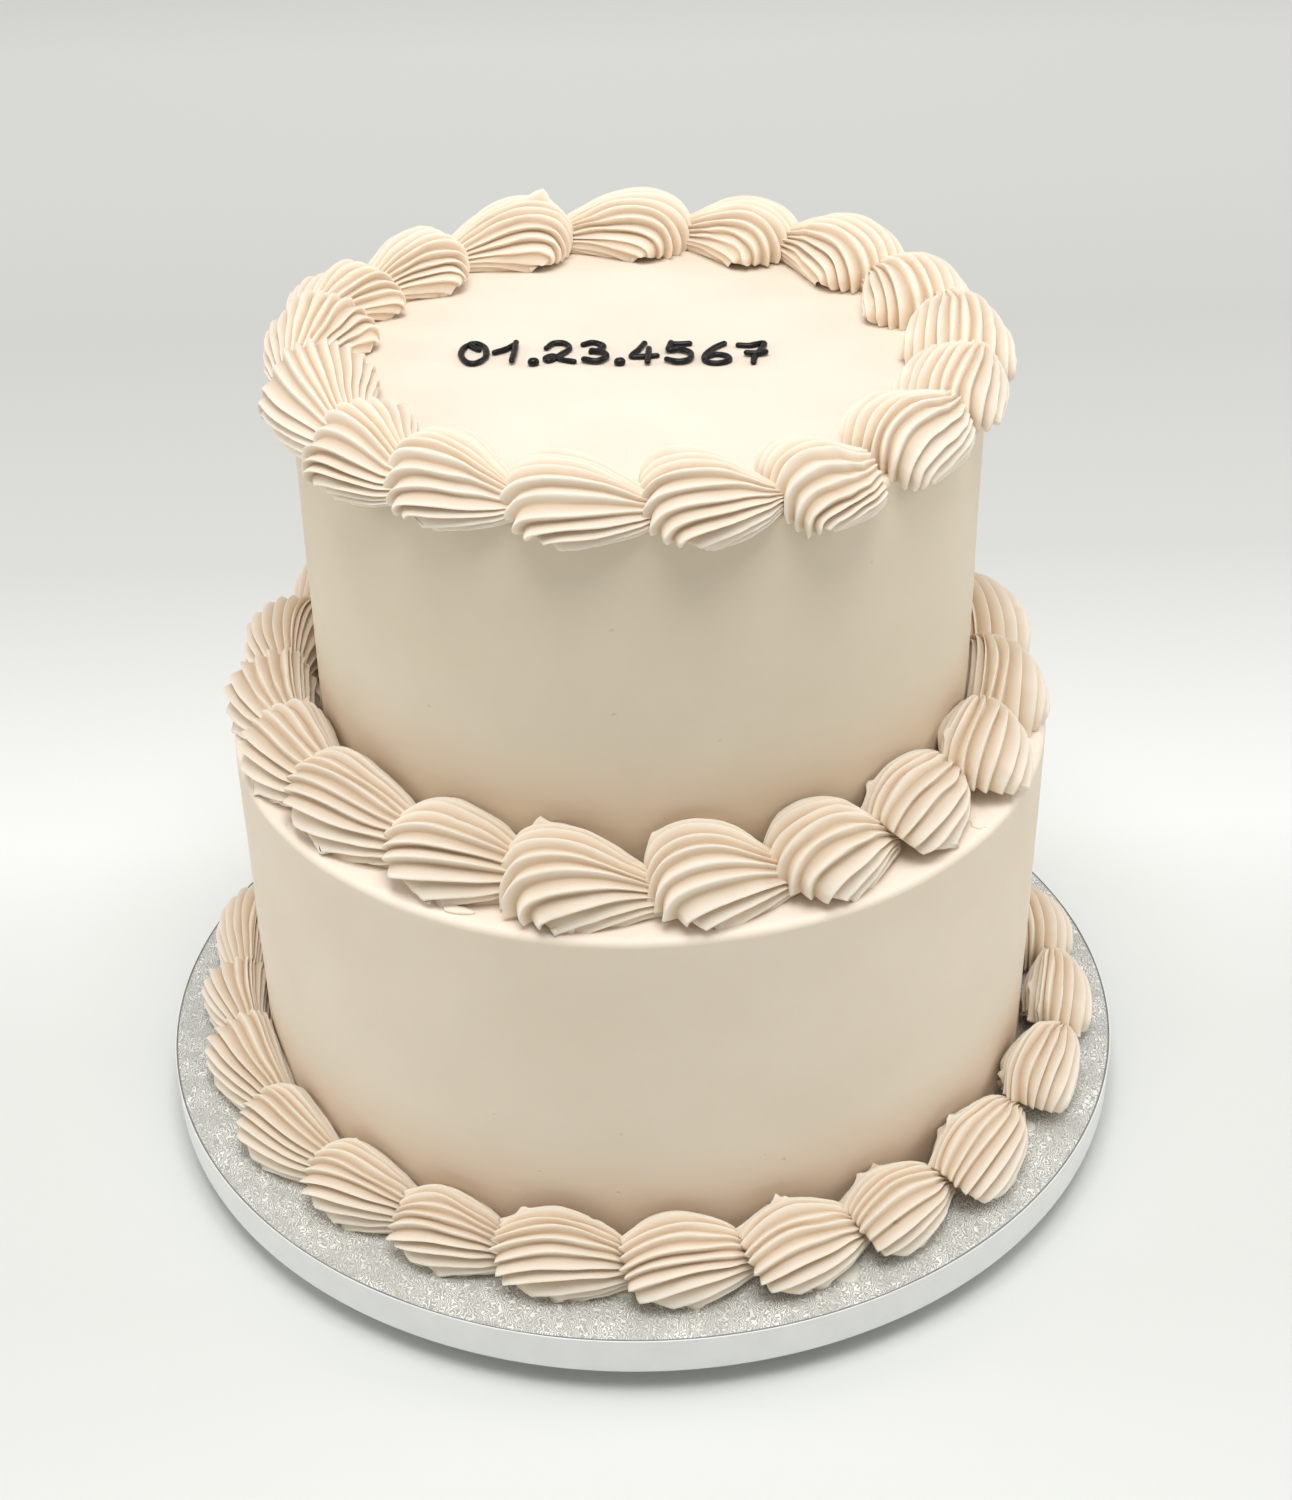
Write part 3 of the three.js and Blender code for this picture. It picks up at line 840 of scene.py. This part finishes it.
# Lays the beads of each figure on the upper tier, one figure after the other.
def writeFigures():
    rng = np.random.default_rng(3)
    low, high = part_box("upper_tier")
    centre = np.array([(low.x + high.x) / 2, (low.y + high.y) / 2])
    pen = 0.0
    for place, figure in enumerate(writing["figures"]):
        dot = figure == "."
        wide = writing["dotWidth"] if dot else writing["width"] * rng.uniform(*writing["uneven"])
        thick = writing["dotThick"] if dot else writing["thick"]
        drop = rng.uniform(-writing["drop"], writing["drop"])
        for number, stroke in enumerate(figureStrokes[figure]):
            points = np.array(stroke) * (wide, writing["height"])
            points = points + (pen + writing["start"][0], writing["start"][1] + drop)
            points[:, 1] += points[:, 0] * writing["slant"]
            curve = curveThrough(points, writing["steps"]) + centre
            surface = high.z - writing["sink"] + writing["crossing"] * number
            grid = beadGrid(curve, surface, thick, rng)
            name = f"figure{place + 1:02d}stroke{number + 1}"
            addPiece(name, tubeMesh(name, grid), blackIcing, "piped_icing")
        pen += wide + writing["gap"] * (writing["dotGap"] if dot else 1)
    print("figures done")


writeFigures()

# Thin films of icing left where the bag was lifted. at is the angle in degrees about the lower
# tier's axis and the radius, size is half the length outwards and half the length round, and turn
# is in radians.
smears = {
    "boardSmear1": {"node": "board", "at": (292.3, 0.1380), "size": (0.0062, 0.0058),
                    "thick": 0.0007, "turn": 0.2},
    "boardSmear2": {"node": "board", "at": (328.1, 0.1315), "size": (0.0060, 0.0044),
                    "thick": 0.0007, "turn": 0.0},
    "boardSmear3": {"node": "board", "at": (266.3, 0.1352), "size": (0.0020, 0.0032),
                    "thick": 0.0005, "turn": 0.1},
    "ledgeSmear1": {"node": "lower_tier", "at": (244.2, 0.1176), "size": (0.0016, 0.0042),
                    "thick": 0.0008, "turn": 0.1},
    "ledgeSmear2": {"node": "lower_tier", "at": (321.9, 0.1180), "size": (0.0022, 0.0030),
                    "thick": 0.0005, "turn": 0.6},
}
smearLook = {"columns": 72, "rings": 12, "ragged": 0.22, "dimples": 0.25, "sink": 0.0009}


# A low drop: height is thickness times the root of one minus the squared share of the way out,
# over an outline that wanders by slow noise of its angle.
def makeSmear(name, smear, rng):
    low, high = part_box("lower_tier")
    angle, radius = math.radians(smear["at"][0]), smear["at"][1]
    centre = ((low.x + high.x) / 2 + radius * math.cos(angle),
              (low.y + high.y) / 2 + radius * math.sin(angle))
    around = np.linspace(0, 2 * math.pi, smearLook["columns"], endpoint=False)
    wander = slowNoise(rng, np.cos(around) * 1.5, np.sin(around) * 1.5, waves=5)
    outline = 1 + smearLook["ragged"] * wander
    share = np.sin(np.linspace(0.1, math.pi / 2, smearLook["rings"]))[:, None]
    along = smear["size"][0] * share * outline * np.cos(around)
    aside = smear["size"][1] * share * outline * np.sin(around)
    turn = angle + smear["turn"]
    x = centre[0] + along * math.cos(turn) - aside * math.sin(turn)
    y = centre[1] + along * math.sin(turn) + aside * math.cos(turn)
    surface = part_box(smear["node"])[1].z
    dimple = 1 + smearLook["dimples"] * slowNoise(rng, x * 300, y * 300)
    upper = surface + smear["thick"] * np.sqrt(np.clip(1 - share ** 2, 0, 1)) * dimple
    lower = np.full_like(x, surface - smearLook["sink"])
    rows = np.concatenate([np.stack([x, y, upper], -1), np.stack([x, y, lower], -1)[::-1]])
    material = thinIcing if smear["node"] == "board" else lowerIcing
    addPiece(name, tubeMesh(name, rows), material, "piped_icing")


smearRng = np.random.default_rng(14)
for smearName, smear in smears.items():
    makeSmear(smearName, smear, smearRng)
print("smears done")


# The paper's colours go from near to far at the stops, which are shares of reach behind the cake.
# They are painted shade and light: darker near the board, which deepens its shadow, and in the
# middle, and lighter beside the board and far behind, where the lamps fall off.
stageLook = {
    "near": (0.675, 0.685, 0.665), "beside": (0.77, 0.78, 0.76), "middle": (0.61, 0.61, 0.59),
    "far": (0.86, 0.86, 0.835), "reach": 1.2, "stops": (0.0, 0.10, 0.28, 0.5, 0.92),
    "rough": 0.8, "ambient": 0.43, "ambientColour": (1, 1, 0.98, 1),
    "drop": 0.008, "plinth": 0.126, "edge": 6.0,
}


def makePaper():
    material, tree, shader = newMaterial("paperFloor")
    # painted shade and light on the floor, by distance behind the cake
    behind = spread(tree, axisOf(tree, objectPlace(tree), "Y"), 0, stageLook["reach"])
    colours = [stageLook[key] for key in ("near", "beside", "middle", "middle", "far")]
    tree.links.new(ramp(tree, behind, stageLook["stops"], colours), shader.inputs["Base Color"])
    shader.inputs["Roughness"].default_value = stageLook["rough"]
    return material


# A sheet of paper with a low round rise under the board, so the board's edge stands clear of it.
def makeFloor():
    around = np.linspace(0, 2 * math.pi, 180, endpoint=False)
    circle = np.stack([np.cos(around), np.sin(around)], -1)
    plinth, ground = stageLook["plinth"], -stageLook["drop"]
    rings = [(0.01, 0), (plinth, 0), (plinth + 0.0002, ground), (0.5, ground),
             (stageLook["edge"], ground)]
    grid = np.stack([np.insert(circle * radius, 2, z, axis=1) for radius, z in rings])
    index = np.arange(grid[..., 0].size).reshape(grid.shape[:2])
    right = np.roll(index, -1, axis=1)
    quads = np.stack([index[:-1], index[1:], right[1:], right[:-1]], -1).reshape(-1, 4)
    mesh = bpy.data.meshes.new("floor")
    mesh.from_pydata(grid.reshape(-1, 3).tolist(), [], quads.tolist() + [index[0].tolist()])
    return mesh


floorMesh = makeFloor()
floorMesh.materials.append(makePaper())
floor = bpy.data.objects.new("floor", floorMesh)
scene.collection.objects.link(floor)

world = bpy.data.worlds.new("studio")
scene.world = world
world.use_nodes = True
background = world.node_tree.nodes["Background"]
background.inputs[0].default_value = stageLook["ambientColour"]
background.inputs[1].default_value = stageLook["ambient"]

lamps = {
    "keyLight": {"place": (0, -0.32, 1.6), "size": 1.0, "power": 19.5},
    "leftLight": {"place": (-1.3, 0.2, 0.8), "size": 0.8, "power": 5.5},
    "rightLight": {"place": (1.3, 0.2, 0.8), "size": 0.8, "power": 5.5},
}
lampTarget = (0, 0, 0.15)


def makeLamp(name, lamp):
    data = bpy.data.lights.new(name, "AREA")
    data.shape = "DISK"
    data.size = lamp["size"]
    data.energy = lamp["power"]
    light = bpy.data.objects.new(name, data)
    scene.collection.objects.link(light)
    light.location = lamp["place"]
    direction = Vector(lampTarget) - Vector(lamp["place"])
    light.rotation_euler = direction.to_track_quat("-Z", "Y").to_euler()


for lampName, lamp in lamps.items():
    makeLamp(lampName, lamp)

# Angles in radians, lens in millimetres.
viewpoint = {"place": (-0.0071, -0.6113, 0.5092), "yaw": 0.016, "pitch": 0.581, "roll": 0.018,
             "lens": 56.957}


# Forward is +Y turned by the yaw and pitched down; right is level; the roll turns right and down.
def makeCamera(view):
    yaw, pitch, roll = view["yaw"], view["pitch"], view["roll"]
    forward = Vector((math.sin(yaw) * math.cos(pitch), math.cos(yaw) * math.cos(pitch),
                      -math.sin(pitch)))
    level = Vector((math.cos(yaw), -math.sin(yaw), 0))
    down = forward.cross(level)
    right = level * math.cos(roll) + down * math.sin(roll)
    down = down * math.cos(roll) - level * math.sin(roll)
    data = bpy.data.cameras.new("camera")
    data.sensor_width = 36
    data.lens = view["lens"]
    data.clip_start = 0.01
    camera = bpy.data.objects.new("camera", data)
    scene.collection.objects.link(camera)
    turn = Matrix((right, -down, -forward)).transposed()
    camera.matrix_world = Matrix.Translation(view["place"]) @ turn.to_4x4()
    scene.camera = camera


makeCamera(viewpoint)
scene.view_settings.view_transform = "Standard"
print("stage ready")
